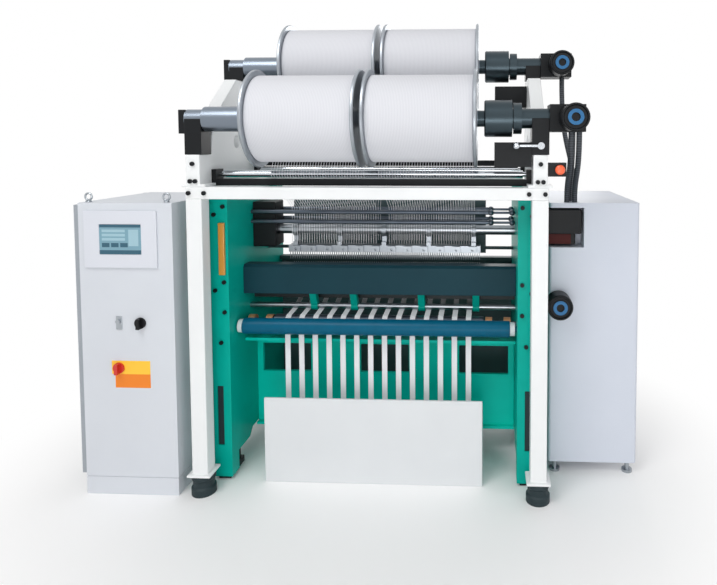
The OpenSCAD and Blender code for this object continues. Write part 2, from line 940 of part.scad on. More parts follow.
// A roller between the walls, with journals in the wall bores
module roller(y, z, d, half) {
    end = wall_in + journal_in;
    turned_x(y, z)
        polygon([
            [0, -end], [journal_d / 2, -end], [journal_d / 2, -half], [d / 2 - 2, -half],
            [d / 2, -half + 2], [d / 2, half - 2], [d / 2 - 2, half], [journal_d / 2, half],
            [journal_d / 2, end], [0, end]
        ]);
}

// A ring on a journal, from x outwards
module journal_ring(s, x, y, z, d, w) {
    translate([s * (x + w / 2), 0, 0])
        difference() {
            bar_x(-w / 2, w / 2, y, z, d);
            bar_x(-w, w, y, z, journal_d + 0.2);
        }
}

module front_roller() {
    on_line()
        color("steelblue")
            roller(roller_y, roller_z, roller_d, roller_half);
}

module roller_end_caps() {
    on_line()
        color("white")
            for (s = [-1, 1])
                journal_ring(s, roller_half, roller_y, roller_z, roller_d - 14, collar_w);
}

module nip_roller() {
    on_line()
        color("dimgray")
            roller(nip_y, nip_z, nip_d, nip_half);
}

module bronze_collars() {
    on_line()
        color("peru")
            for (s = [-1, 1], x = [nip_half + 10, nip_half + 110])
                journal_ring(s, x, nip_y, nip_z, nip_d - 6, 1.4 * collar_w);
}

// Path of a tape: down between the needle bars, under the fabric rod, over the nip roller, to the bin
function tape_path() =
    let (
        rod_r = rod_d / 2 + tape_off,
        nip_r = nip_d / 2 + tape_off,
        fall_z = bin_wall + fold_n * fold_t + fold_r
    )
    concat(
        [[swing_y, needle_bed_z + needle_bar_h + 40], [swing_y, needle_bed_z - needle_bed_h - 6]],
        arc_points([rod_y, rod_z], rod_r, -62, -100, 4),
        arc_points([nip_y, nip_z], nip_r, 80, 180, 8),
        [[tape_y, fall_z]],
        arc_points([tape_y + fold_r, fall_z], fold_r, 190, 262, 5)
    );
// The folded pile of a tape in the bin
fold_n = 5;
fold_t = 8;
fold_r = 26;

module tape_pile() {
    length = 98;
    for (i = [0 : fold_n - 1])
        translate([tape_y + fold_r - 12 + 6 * (i % 2), bin_wall + soft_gap + (i + 0.5) * fold_t]) {
            translate([0, -fold_t / 2 - 0.4])
                square([length, fold_t + 0.8]);
            circle(d = fold_t);
            translate([length, 0])
                circle(d = fold_t);
        }
}

module knitted_tapes() {
    on_line()
        color("ivory")
            for (i = [0 : tape_n - 1])
                let (x = (i - (tape_n - 1) / 2) * tape_pitch)
                along_x(x - tape_w / 2, x + tape_w / 2) {
                    polygon(strip(tape_path(), tape_t));
                    tape_pile();
                }
}

// An open bin whose sides fall from a high front to a low back
module fabric_bin() {
    slope_y = bin_y + bin_wall;
    on_line()
        color("white")
            difference() {
                along_x(-bin_w / 2, bin_w / 2)
                    polygon([
                        [bin_y, 0], [bin_y + bin_d, 0], [bin_y + bin_d, bin_back_h],
                        [slope_y, bin_h], [bin_y, bin_h]
                    ]);
                block(
                    [-bin_w / 2 + bin_wall, bin_y + bin_wall, bin_wall],
                    [bin_w / 2 - bin_wall, bin_y + bin_d - bin_wall, bin_h + 1]
                );
            }
}

module fabric_rod() {
    end = wall_in + journal_in;
    on_line()
        color("silver")
            bar_x(-end, end, rod_y, rod_z, rod_d);
}

// A bracket that holds the fabric rod under the cover beam, between two tapes
module rod_brackets() {
    hub = rod_d / 2 + 10;
    root_d = 44;
    root_y = cover_y + cover_d;
    on_line()
        color("mediumseagreen")
            for (i = bracket_at)
                along_x(i * tape_pitch - bracket_w / 2, i * tape_pitch + bracket_w / 2)
                    difference() {
                        union() {
                            translate([rod_y, rod_z])
                                circle(hub);
                            polygon([
                                [root_y - root_d, cover_z], [rod_y - hub + 4, rod_z],
                                [rod_y + hub - 4, rod_z], [root_y, cover_z]
                            ]);
                        }
                        translate([rod_y, rod_z])
                            circle(d = rod_d + 0.2);
                    }
}

module needle_bed() {
    groove = 12;
    on_line()
        color("gray")
            difference() {
                block(
                    [-wall_in, needle_bed_y, needle_bed_z - needle_bed_h],
                    [wall_in, needle_bed_y + needle_bed_d, needle_bed_z]
                );
                block(
                    [-work_w / 2, swing_y - groove, needle_bed_z - needle_bed_h - 1],
                    [work_w / 2, swing_y + groove, needle_bed_z + 1]
                );
                for (s = [-1, 1], y = [front_needle_y, rear_needle_y])
                    bar_z(
                        s * work_w * 0.35, y, needle_bed_z - pin_l - 5, needle_bed_z + 1,
                        pin_d + 2 * run_fit
                    );
            }
}

// A needle bar with its row of needles and its two guide pins
module needle_bar(y) {
    n = floor(work_w / needle_pitch);
    top = needle_bed_z + needle_bar_h;
    lead_h = 14;
    block([-work_w / 2, y - needle_bar_t / 2, needle_bed_z], [work_w / 2, y + needle_bar_t / 2, top]);
    for (s = [-1, 1])
        bar_z(s * work_w * 0.35, y, needle_bed_z - pin_l, needle_bed_z + 1, pin_d);
    for (i = [0 : n - 1])
        translate([(i - (n - 1) / 2) * needle_pitch, y, top - 1]) {
            translate([-needle_w / 2, -6, 0])
                cube([needle_w, 12, lead_h + 1]);
            translate([-needle_w / 2, -2, 0])
                cube([needle_w, 4, needle_h + 1]);
        }
}

module front_needle_bar() {
    on_line()
        color("silver")
            needle_bar(front_needle_y);
}

module rear_needle_bar() {
    on_line()
        color("silver")
            needle_bar(rear_needle_y);
}

module swing_shaft() {
    end = wall_in + journal_in;
    on_line()
        color("black")
            bar_x(-end, end, swing_y, swing_z, swing_d);
}

// A hanger: a hub on the swing shaft, a web and a foot over both guide bars
module guide_bar_hangers() {
    hub = swing_d / 2 + 14;
    foot_t = 20;
    reach = rear_guide_y - swing_y + guide_bar_t / 2;
    on_line()
        color("gray")
            for (x = hanger_x)
                along_x(x - hanger_t / 2, x + hanger_t / 2)
                    difference() {
                        union() {
                            translate([swing_y, swing_z])
                                circle(hub);
                            translate([swing_y - 16, guide_top_z])
                                square([32, swing_z - guide_top_z]);
                            translate([swing_y - reach, guide_top_z])
                                square([2 * reach, foot_t]);
                        }
                        translate([swing_y, swing_z])
                            circle(d = swing_d + 0.2);
                    }
}

// A guide bar with its row of guides below and a row of clamps on its outer face
module guide_bar(y, out) {
    n = floor(work_w / needle_pitch);
    clamp_n = 12;
    clamp_pitch = work_w / clamp_n;
    clamp_w = 46;
    clamp_t = 16;
    half = guide_bar_t / 2;
    block([-work_w / 2, y - half, guide_bar_z], [work_w / 2, y + half, guide_top_z]);
    for (i = [0 : n - 1])
        translate([(i - (n - 1) / 2) * needle_pitch, y, guide_tip_z])
            translate([-needle_w / 2, -1.5, 0])
                cube([needle_w, 3, guide_h + 1]);
    for (i = [0 : clamp_n - 1])
        translate([(i - (clamp_n - 1) / 2) * clamp_pitch, y + out * (half + clamp_t / 2), 0])
            difference() {
                block(
                    [-clamp_w / 2, -clamp_t / 2 - 0.5, guide_bar_z + 4],
                    [clamp_w / 2, clamp_t / 2 + 0.5, guide_top_z - 2]
                );
                bar_y(0, -clamp_t, clamp_t, guide_bar_z + guide_bar_h / 2, 16);
            }
}

module front_guide_bar() {
    on_line()
        color("lightgray")
            guide_bar(front_guide_y, -1);
}

module rear_guide_bar() {
    on_line()
        color("lightgray")
            guide_bar(rear_guide_y, 1);
}

// The swing drive's case on the left wall
module swing_case() {
    low = swing_z - case_below;
    high = swing_z + case_above;
    on_line()
        color("black")
            difference() {
                block(
                    [-wall_in, swing_y - case_d / 2, low],
                    [-wall_in + case_l, swing_y + case_d / 2, high]
                );
                bar_x(
                    -wall_in - 1, -wall_in + case_l + 1, swing_y, swing_z, swing_d + 2 * run_fit
                );
            }
}

// Reed bars for the front and rear warps, with ball links at the right wall
module reed_bars() {
    bar_end = wall_in - reed_link_l;
    ball_d = reed_d + 10;
    link_d = reed_d - 10;
    on_line()
        color("gray")
            for (y = [swing_y - reed_off, swing_y + reed_off], z = [reed_z, reed_z - reed_step]) {
                bar_x(-wall_in, bar_end, y, z, reed_d);
                bar_x(bar_end - 1, wall_in, y, z, link_d);
                for (x = [bar_end + 14, wall_in - ball_d / 2])
                    translate([x, y, z])
                        sphere(d = ball_d);
            }
}

// A guide tube with thin journals in its carrier's ears
module guide_tube(y) {
    half = plate_in - 40;
    j = 24;
    end = plate_in - 12;
    turned_x(y, tube_z)
        polygon([
            [0, -end], [j / 2, -end], [j / 2, -half], [tube_d / 2, -half],
            [tube_d / 2, half], [j / 2, half], [j / 2, end], [0, end]
        ]);
}

module front_guide_tube() {
    on_line()
        color("gainsboro")
            guide_tube(front_tube_y);
}

module rear_guide_tube() {
    on_line()
        color("gainsboro")
            guide_tube(rear_tube_y);
}

// A carrier bar between the stand plates with an ear at each end for a guide tube
module tube_carrier(y, side, fore) {
    bar_h = 34;
    bar_t = 36;
    ear_t = 24;
    ear_w = 52;
    off = side * (tube_d / 2 + 4 + bar_h / 2);
    reach = tube_d / 2 + 4 + bar_h;
    front = min(-ear_w / 2, -fore - bar_t / 2);
    j = 24;
    difference() {
        union() {
            translate([0, y - fore, tube_z + off])
                block([-plate_in, -bar_t / 2, -bar_h / 2], [plate_in, bar_t / 2, bar_h / 2]);
            for (s = [-1, 1])
                translate([s * (plate_in - ear_t / 2), y, tube_z + side * (reach - ear_w / 2) / 2])
                    block(
                        [-ear_t / 2, front, -(reach + ear_w / 2) / 2],
                        [ear_t / 2, ear_w / 2, (reach + ear_w / 2) / 2]
                    );
        }
        bar_x(-plate_in + 8, plate_in - 8, y, tube_z, j + 2 * run_fit);
    }
}

// The front carrier runs below and before its tube, the rear one above it
module tube_carriers() {
    on_line()
        color("black") {
            tube_carrier(front_tube_y, -1, front_tube_y - front_seat_d - 20);
            tube_carrier(rear_tube_y, 1, 0);
        }
}

// The warp yarns: from each beam, round its guide tube, past the reed bars to the guides
module warp_yarns() {
    gap = reed_d / 2 + soft_gap + yarn_t / 2;
    low_z = guide_top_z + 14;
    yarn_in = spool_gap / 2 + flange_t + 8;
    yarn_out = beams_half - flange_t - 10;
    front_line = swing_y - reed_off + gap;
    rear_line = swing_y + reed_off - gap;
    paths = [
        warp_path(
            [front_beam_y, front_beam_z], [front_tube_y, tube_z], -1,
            [front_line, reed_z + 24], [front_line, low_z]
        ),
        warp_path(
            [rear_beam_y, rear_beam_z], [rear_tube_y, tube_z], 1,
            [rear_line, reed_z + 24], [rear_line, low_z]
        )
    ];
    on_line()
        color("whitesmoke")
            for (p = paths, s = [-1, 1], i = [0 : yarn_n - 1])
                let (x = s * (yarn_in + (yarn_out - yarn_in) * i / (yarn_n - 1)))
                along_x(x - yarn_t / 2, x + yarn_t / 2)
                    polygon(strip(p, yarn_t));
}

// Cabinet shell, open at its left side behind the door, on a plinth, with the door's two pivots
module cabinet_body() {
    on_line()
        color("gainsboro") {
            difference() {
                block([cab_x, 0, 0], [cab_in, cab_d, cab_h]);
                block(
                    [cab_x - 1, cab_wall + door_inset, plinth_h + cab_wall],
                    [cab_in - cab_wall, cab_d - cab_wall - door_inset, cab_h - cab_wall - door_inset]
                );
                difference() {
                    block([cab_x - 1, -1, plinth_h], [cab_in + 1, cab_d + 1, plinth_h + 4]);
                    block([cab_x + 3, 3, plinth_h - 1], [cab_in - 3, cab_d - 3, plinth_h + 5]);
                }
            }
            door_pivot(plinth_h + 1, plinth_h + door_inset - 1, 1);
            door_pivot(cab_h - door_inset + 1, cab_h - 2, -1);
        }
}

// A pivot plate with a pin into the door, up (1) or down (-1)
module door_pivot(z0, z1, way) {
    pin_l = 26;
    block([cab_out + 2, hinge_y - 12, z0], [cab_x + 1, hinge_y + 9, z1]);
    bar_z(hinge_x, hinge_y, way > 0 ? z0 + 1 : z0 - pin_l, way > 0 ? z1 + pin_l : z1 - 1, hinge_d);
}

module cabinet_door() {
    bore_l = 30;
    bore_d = hinge_d + 2 * run_fit;
    low = plinth_h + door_inset;
    high = cab_h - door_inset;
    on_line()
        color("lightgray")
            difference() {
                block([cab_out, door_inset, low], [cab_x - door_gap, cab_d - door_inset, high]);
                bar_z(hinge_x, hinge_y, low - 1, low + bore_l, bore_d);
                bar_z(hinge_x, hinge_y, high - bore_l, high + 1, bore_d);
            }
}

// Mounting plate with a row of drive modules and a row of smaller units
module cabinet_modules() {
    plate_t = 6;
    back = cab_in - cab_wall;
    y0 = cab_wall + door_inset + 20;
    y1 = cab_d - cab_wall - door_inset - 20;
    z0 = plinth_h + cab_wall + 40;
    z1 = cab_h - cab_wall - door_inset - 40;
    n = 5;
    step = (y1 - y0) / n;
    high = z1 - z0;
    drive_d = 0.396 * cab_w;
    unit_d = 0.188 * cab_w;
    on_line()
        color("darkgray") {
            block([back - plate_t, y0, z0], [back, y1, z1]);
            for (i = [0 : n - 1]) {
                block(
                    [back - plate_t - drive_d, y0 + i * step + 8, z1 - 0.345 * high],
                    [back - plate_t, y0 + (i + 1) * step - 8, z1 - 0.047 * high]
                );
                block(
                    [back - plate_t - unit_d, y0 + i * step + 5, z0 + 0.26 * high],
                    [back - plate_t, y0 + (i + 1) * step - 5, z0 + 0.393 * high]
                );
            }
        }
}

// Operator panel with a recess for its screen
module operator_panel() {
    mid = cab_mid - 22;
    screen_in = 4;
    on_line()
        color("whitesmoke")
            difference() {
                block(
                    [mid - panel_w / 2, -panel_t, panel_z - panel_h / 2],
                    [mid + panel_w / 2, 0, panel_z + panel_h / 2]
                );
                block(
                    [mid - screen_w / 2, -panel_t - 1, panel_z - screen_h / 2],
                    [mid + screen_w / 2, -panel_t + screen_in, panel_z + screen_h / 2]
                );
            }
}

// A rotary switch knob along Y with a raised grip bar
module switch_knob(x, z, d) {
    base_t = 10;
    grip_t = 22;
    bar_y(x, -base_t, -0.3, z, d);
    block([x - d * 0.15, -base_t - grip_t, z - d * 0.46], [x + d * 0.15, -base_t + 1, z + d * 0.46]);
}

module main_switch() {
    on_line()
        color("firebrick")
            switch_knob(cab_mid - 52, switch_z, knob_d);
}

module selector_knob() {
    on_line()
        color("black")
            switch_knob(cab_mid + 66, selector_z, knob_d);
}

module lifting_eyes() {
    ring_d = 44;
    wire_d = 10;
    on_line()
        color("silver")
            for (x = [cab_x + 34, cab_in - 44])
                translate([x, 34, cab_h]) {
                    cylinder(d = 28, h = 8);
                    translate([0, 0, ring_d / 2 + 6])
                        rotate([90, 0, 0])
                            rotate_extrude($fn = 40)
                                translate([ring_d / 2 - wire_d / 2, 0])
                                    circle(d = wire_d, $fn = 20);
                }
}

module drive_housing() {
    r = 16;
    seam = 4;
    rim = 60;
    mid_z = (hous_foot_h + hous_h) / 2;
    lift = 8;
    back = hous_y + hous_d;
    on_line()
        color("whitesmoke")
            difference() {
                rounded_column([hous_x, hous_y, hous_foot_h], [hous_out, back, hous_h], r);
                translate([hous_x, hous_y, pattern_low])
                    block(
                        [-1, -1, -notch_room],
                        [pattern_w + notch_room, pattern_d + notch_room, pattern_h + notch_room]
                    );
                for (z = [hous_foot_h + rim, mid_z, hous_h - rim - seam])
                    block([hous_out - seam, hous_y + rim, z], [hous_out + 1, back - rim, z + seam]);
                for (y = [hous_y + rim, back - rim - seam])
                    block([hous_out - seam, y, hous_foot_h + rim], [hous_out + 1, y + seam, hous_h - rim]);
                for (i = [0 : 7])
                    block(
                        [hous_out - seam, hous_y + 3 * rim, hous_foot_h + 2 * rim + 3 * i * lift],
                        [hous_out + 1, back - 3 * rim, hous_foot_h + 2 * rim + (3 * i + 1) * lift]
                    );
            }
}

module housing_feet() {
    inset = 40;
    on_line()
        color("gray")
            for (x = [hous_x + inset, hous_out - inset], y = [hous_y + inset, hous_y + hous_d - inset]) {
                bar_z(x, y, 0, 14, 56);
                bar_z(x, y, 14, hous_foot_h, 24);
            }
}

// Pattern drive between the right wall and the housing's notch
module pattern_drive() {
    foot_h = 60;
    front = hous_y + 6;
    reach = hous_gap + pattern_w;
    back = hous_y + pattern_d + notch_room;
    on_line()
        color("black") {
            block([wall_out, front, pattern_low + foot_h], [wall_out + reach, back, pattern_high]);
            block([wall_out, front + 20, pattern_low], [wall_out + reach - 30, back, pattern_low + foot_h]);
        }
}

module motor_cables() {
    on_line()
        color("dimgray")
            for (p = cable_routes)
                let (n = len(p), s = cable_sides)
                polyhedron(
                    points = [for (i = [0 : n - 1]) each cable_ring(p, i)],
                    faces = concat(
                        [[for (k = [0 : s - 1]) k]],
                        [for (i = [0 : n - 2], k = [0 : s - 1])
                            [i * s + k, (i + 1) * s + k, (i + 1) * s + (k + 1) % s, i * s + (k + 1) % s]],
                        [[for (k = [s - 1 : -1 : 0]) (n - 1) * s + k]]
                    )
                );
}

// A stop button's box on the right stand plate
module stop_station() {
    side = post_x + stand_plate_t / 2;
    on_line()
        color("black")
            difference() {
                block([side, stop_y, stop_z - 34], [side + 92, stop_y + 66, stop_z + 34]);
                bar_y(stop_x, stop_y - 1, stop_y + 44, stop_z, stop_stem_d + 2 * run_fit);
            }
}

module stop_button() {
    r = stop_stem_d / 2;
    on_line()
        color("orangered")
            translate([stop_x, stop_y, stop_z])
                rotate([-90, 0, 0])
                    rotate_extrude()
                        polygon([
                            [0, -30], [14, -29], [21, -24], [24, -18], [22, -12], [r, -12], [r, 34], [0, 34]
                        ]);
}

// A bearing lock lever: a hub on the front of the right bearing block, a rod and a ball
module clamp_lever() {
    hub_l = 30;
    reach = 118;
    rod_r = 7;
    ball_r = 18;
    neck = asin(rod_r / ball_r);
    front = front_beam_y - bearing_d / 2;
    ball = [
        for (i = [0 : 14])
            let (a = 180 - (180 - neck) * i / 14)
            [ball_r * sin(a), ball_r * cos(a) - reach]
    ];
    on_line()
        color("gainsboro")
            translate([post_x, 0, 0]) {
                bar_y(0, front - hub_l, front, lever_z, 34);
                turned_x(front - hub_l + 9, lever_z)
                    polygon(concat(ball, [[rod_r, 0], [0, 0]]));
            }
}

// A cable trunk from the cabinet to the left wall
module cable_trunk() {
    on_line()
        color("gray")
            block([cab_in, trunk_y, trunk_z], [-wall_out + pocket_t, trunk_y + trunk_w, trunk_z + trunk_h]);
}

posts();
top_rails();
vibration_mounts();
left_stand_plate();
right_stand_plate();
beam_bearings();
front_beam_shaft();
front_left_spool();
front_right_spool();
front_yarn_packs();
rear_beam_shaft();
rear_left_spool();
rear_right_spool();
rear_yarn_packs();
let_off_gear_units();
let_off_motors();
take_up_motor();
left_side_wall();
right_side_wall();
bed_panel();
rear_panel();
rear_guard();
machine_feet();
cover_beam();
front_roller();
roller_end_caps();
nip_roller();
bronze_collars();
knitted_tapes();
fabric_bin();
fabric_rod();
rod_brackets();
needle_bed();
front_needle_bar();
rear_needle_bar();
swing_shaft();
guide_bar_hangers();
front_guide_bar();
rear_guide_bar();
swing_case();
reed_bars();
front_guide_tube();
rear_guide_tube();
tube_carriers();
warp_yarns();
cabinet_body();
cabinet_door();
cabinet_modules();
operator_panel();
main_switch();
selector_knob();
lifting_eyes();
drive_housing();
housing_feet();
pattern_drive();
motor_cables();
stop_station();
stop_button();
clamp_lever();
cable_trunk();
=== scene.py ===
"""Studio picture of a compact warp knitting machine.

Positions are given in millimetres in the machine's line frame: X = 0 at the middle of the
knitting width, Y = 0 at the front faces of the stand's posts, Z = 0 on the floor. The shared
frame is in metres, with X = 0 and Y = 0 at the middle of the whole machine.
"""

import math

import bmesh
import bpy
from mathutils import Matrix, Vector


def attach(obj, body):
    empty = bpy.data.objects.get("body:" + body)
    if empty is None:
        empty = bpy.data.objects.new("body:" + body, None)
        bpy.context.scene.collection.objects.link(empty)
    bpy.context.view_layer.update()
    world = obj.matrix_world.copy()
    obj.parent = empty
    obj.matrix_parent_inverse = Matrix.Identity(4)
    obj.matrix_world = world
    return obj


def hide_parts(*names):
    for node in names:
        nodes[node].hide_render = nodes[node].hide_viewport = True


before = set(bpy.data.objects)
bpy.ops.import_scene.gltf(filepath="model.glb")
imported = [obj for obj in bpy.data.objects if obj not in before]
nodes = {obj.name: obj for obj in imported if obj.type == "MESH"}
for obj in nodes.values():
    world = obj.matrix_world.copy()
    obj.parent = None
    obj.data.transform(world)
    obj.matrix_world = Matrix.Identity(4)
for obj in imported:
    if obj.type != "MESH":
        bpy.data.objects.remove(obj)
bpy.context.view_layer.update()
scene = bpy.context.scene

# The line frame's place in the shared frame, in millimetres
LINE_X, LINE_Y = 36.0, -459.0
MM = 0.001


def at(x, y, z):
    """A point of the line frame in millimetres, in the shared frame in metres."""
    return Vector(((x + LINE_X) * MM, (y + LINE_Y) * MM, z * MM))


# Camera: lens, place and turn from a fit of the machine's corners to the photograph
PICTURE_W = 717  # pixels
FOCAL_PX = 577.5
SHIFT_PX = (-105.6, -118.9)
SENSOR = 36.0
EYE = (603.0, -2788.0, 1791.0)
TILT, PAN = -3.0, 2.4  # degrees
camera_data = bpy.data.cameras.new("camera")
camera_data.sensor_width = SENSOR
camera_data.lens = SENSOR * FOCAL_PX / PICTURE_W
camera_data.shift_x = SHIFT_PX[0] / PICTURE_W
camera_data.shift_y = SHIFT_PX[1] / PICTURE_W
camera_data.clip_start = 0.05
camera_data.clip_end = 100.0
camera = bpy.data.objects.new("camera", camera_data)
camera.location = at(*EYE)
camera.rotation_euler = (math.radians(90.0 + TILT), 0.0, math.radians(PAN))
scene.collection.objects.link(camera)
scene.camera = camera


# Materials

COAT_ROUGH = 0.15
SHADE_DETAIL, GRAIN_DETAIL = 3.0, 2.0
GRAIN_STRENGTH, BAND_STRENGTH = 0.5, 0.4
BAND_WANDER = 1.2


def srgb(code):
    """A hex colour of the picture as linear RGBA."""
    parts = [int(code[i:i + 2], 16) / 255.0 for i in (1, 3, 5)]
    lin = [c / 12.92 if c <= 0.04045 else ((c + 0.055) / 1.055) ** 2.4 for c in parts]
    return (*lin, 1.0)


def add(tree, kind, links=None, **values):
    """A shader node with its settings and inputs set by name; links = {input: output to join}."""
    node = tree.nodes.new(kind)
    for key, value in values.items():
        name = key.replace("_", " ")
        if name in node.inputs:
            node.inputs[name].default_value = value
        else:
            setattr(node, key, value)
    for name, output in (links or {}).items():
        tree.links.new(output, node.inputs[name])
    return node


def surface(
    name, code, rough, metal=0.0, coat=0.0, shade=None, grain=None, sheen=0.0, gloss=0.5
):
    """A named material. shade = (second colour, size in mm); grain = (size in mm, height in mm)."""
    mat = bpy.data.materials.new(name)
    mat.use_nodes = True
    tree = mat.node_tree
    shader = tree.nodes["Principled BSDF"]
    shader.inputs["Base Color"].default_value = srgb(code)
    shader.inputs["Roughness"].default_value = rough
    shader.inputs["Metallic"].default_value = metal
    shader.inputs["Specular IOR Level"].default_value = gloss
    shader.inputs["Coat Weight"].default_value = coat
    shader.inputs["Coat Roughness"].default_value = COAT_ROUGH
    shader.inputs["Sheen Weight"].default_value = sheen
    place = add(tree, "ShaderNodeTexCoord").outputs["Object"]
    if shade:
        noise = add(
            tree, "ShaderNodeTexNoise", {"Vector": place},
            Scale=1.0 / (shade[1] * MM), Detail=SHADE_DETAIL,
        )
        mix = add(
            tree, "ShaderNodeMix", {"Factor": noise.outputs["Fac"]},
            data_type="RGBA", A=srgb(code), B=srgb(shade[0]),
        )
        tree.links.new(mix.outputs["Result"], shader.inputs["Base Color"])
    if grain:
        noise = add(
            tree, "ShaderNodeTexNoise", {"Vector": place},
            Scale=1.0 / (grain[0] * MM), Detail=GRAIN_DETAIL,
        )
        bump = add(
            tree, "ShaderNodeBump", {"Height": noise.outputs["Fac"]},
            Strength=GRAIN_STRENGTH, Distance=grain[1] * MM,
        )
        tree.links.new(bump.outputs["Normal"], shader.inputs["Normal"])
    return mat


def banded(name, code, dark, rough, period, axis, height, sheen=0.0):
    """A material with fine even bands across one axis, period and height in mm."""
    mat = surface(name, code, rough, sheen=sheen)
    tree = mat.node_tree
    shader = tree.nodes["Principled BSDF"]
    # The wave texture runs through one band in 2 pi / 20 of its own length
    wave = add(
        tree, "ShaderNodeTexWave", {"Vector": tree.nodes["Texture Coordinate"].outputs["Object"]},
        bands_direction=axis, Scale=2.0 * math.pi / (20.0 * period * MM),
        Distortion=BAND_WANDER,
    )
    mix = add(
        tree, "ShaderNodeMix", {"Factor": wave.outputs["Fac"]},
        data_type="RGBA", A=srgb(dark), B=srgb(code),
    )
    bump = add(
        tree, "ShaderNodeBump", {"Height": wave.outputs["Fac"]},
        Strength=BAND_STRENGTH, Distance=height * MM,
    )
    tree.links.new(mix.outputs["Result"], shader.inputs["Base Color"])
    tree.links.new(bump.outputs["Normal"], shader.inputs["Normal"])
    return mat


# Powder coat, baked on the stand: a bright satin white with a faint orange peel
white_powder_coat = surface(
    "white_powder_coat", "#F2F4F4", 0.42, shade=("#EAECED", 180.0), grain=(3.0, 0.05)
)
# Powder coat on the drive housing's sheet: a cooler, flatter white
cool_powder_coat = surface(
    "cool_powder_coat", "#D6DBE6", 0.46, shade=("#CFD5E1", 240.0), grain=(2.0, 0.05)
)
# Textured powder coat on the control cabinet: pale grey that shows no sharp mirror
grey_powder_coat = surface(
    "grey_powder_coat", "#D9DDE3", 0.48, shade=("#D2D6DD", 260.0), grain=(2.0, 0.06)
)
# The same textured coat on the door: a darker grey, painted shade on the cabinet's left side
door_coat_painted_shade = surface(
    "door_coat_painted_shade", "#A4AAB1", 0.48, shade=("#9DA3AA", 260.0), grain=(2.0, 0.06)
)
# Brushed enamel on rough castings: turquoise with soft uneven highlights
turquoise_enamel = surface(
    "turquoise_enamel", "#00B6A5", 0.38, coat=0.03, shade=("#00A696", 160.0),
    grain=(9.0, 0.15), gloss=0.1,
)
# The same enamel on the bed panel, a stronger turquoise: painted light against the shade there
bed_enamel_painted_light = surface(
    "bed_enamel_painted_light", "#00DECB", 0.38, coat=0.03, shade=("#00CCBA", 160.0),
    grain=(9.0, 0.15), gloss=0.1,
)
# Sprayed enamel on the cover beam: dark petrol with hardly a highlight
petrol_enamel = surface("petrol_enamel", "#153F4A", 0.46, shade=("#113742", 200.0), gloss=0.15)
# Enamel inside the machine and on its rear plates: dull grey green, partly painted shade
inner_enamel_painted_shade = surface("inner_enamel_painted_shade", "#4C6164", 0.55, shade=("#42565A", 140.0))
# Sprayed enamel on bearings, gear units and motors: near black with broad weak highlights
black_enamel = surface("black_enamel", "#101418", 0.42, shade=("#090B0E", 60.0), gloss=0.25)
# Turned and oiled steel of rollers and reed bars: dark metal with cloudy reflections
oiled_steel = surface("oiled_steel", "#6B747F", 0.34, metal=0.9, shade=("#4E5660", 90.0))
# Polished steel of the beam shafts: blue grey metal with long clear highlights
polished_steel = surface("polished_steel", "#7F8893", 0.3, metal=0.9)
# Ground steel of bars and needles: pale metal with small bright glints
ground_steel = surface("ground_steel", "#B9BEC3", 0.28, metal=1.0, shade=("#9AA0A6", 40.0))
# Needle bed's steel, painted near black as shade under the cover: a little metal in its highlights
steel_painted_shade = surface("steel_painted_shade", "#23292B", 0.45, metal=0.4)
# Polished chrome plate on guide tubes and the lever: mirrors the room
polished_chrome = surface("polished_chrome", "#D3D8DD", 0.14, metal=1.0)
# Turned aluminium of the beam flanges: soft silver rims
turned_aluminium = surface(
    "turned_aluminium", "#AEB4BA", 0.36, metal=0.85, shade=("#989EA5", 70.0)
)
# Polyester yarn, wound side by side: matt white with faint rings. The turns lie under 1 mm apart
# and are drawn 7 mm apart, so that they show
wound_polyester = banded(
    "wound_polyester", "#DFE0E5", "#D2D3D9", 0.75, 7.0, "X", 0.6, sheen=0.1
)
# The same yarn as single drawn ends: thin bright lines with a soft rim
drawn_polyester = surface("drawn_polyester", "#F1F0F4", 0.7, sheen=0.3)
# Knitted polyester tape: soft white with ribs along its length. The ribs lie about 1 mm apart and
# are drawn 4 mm apart, so that they show
knitted_polyester = banded(
    "knitted_polyester", "#F6F6F8", "#E4E5EA", 0.85, 4.0, "X", 0.4, sheen=0.4
)
# Ground rubber cover of the front roller: deep blue with one blurred highlight along it
ground_rubber = surface("ground_rubber", "#005F7E", 0.34, shade=("#00536F", 50.0), gloss=0.15)
# Moulded ABS of the bin and the roller caps: even, slightly cool white
moulded_abs = surface("moulded_abs", "#E0E3E5", 0.45, shade=("#D9DCDF", 220.0))
# Turned bronze of the collars: warm pale brown metal
turned_bronze = surface("turned_bronze", "#DDA477", 0.36, metal=0.45, shade=("#C98F63", 20.0))
# Moulded rubber of the mounts, also the painted shade in the side walls' slots: dark and matt, with
# a fine grain
rubber_and_slot_shade = surface("rubber_and_slot_shade", "#12272C", 0.62, grain=(2.5, 0.1))
# Extruded PVC conduit of the cables: dark grey rings. The ribs lie about 4 mm apart and are drawn
# 12 mm apart, so that they show
ribbed_pvc = banded("ribbed_pvc", "#454B53", "#262A30", 0.55, 12.0, "Z", 1.2)
# Moulded glossy ABS of the stop button and the main switch: clear signal colours with a shine
orange_abs = surface("orange_abs", "#FF6A3C", 0.35, coat=0.3)
red_abs = surface("red_abs", "#CF2A1E", 0.35, coat=0.3)
# Printed film of the switch's plate: flat warm colours
yellow_film = surface("yellow_film", "#FFC93A", 0.5)
orange_film = surface("orange_film", "#F2851C", 0.5)
# Moulded grained ABS of the operator panel: pale and matt, with no clear reflection
grained_abs = surface("grained_abs", "#DADDE5", 0.5, grain=(1.5, 0.04))
# Moulded nylon of knobs and boxes: black with weak highlights
black_nylon = surface("black_nylon", "#0E0F12", 0.45, gloss=0.3)
# Anodised aluminium of the rings on the motors' faces: blue with a metal sheen
anodised_aluminium = surface("anodised_aluminium", "#2C6796", 0.36, metal=0.4)
# Moulded acrylic of the light bar: amber under a glossy skin
amber_acrylic = surface("amber_acrylic", "#D08E2C", 0.35, coat=0.4)
# Sprayed enamel on the pattern drive's lower panel: very dark red, almost matt
red_enamel = surface("red_enamel", "#450E0C", 0.5, gloss=0.2)


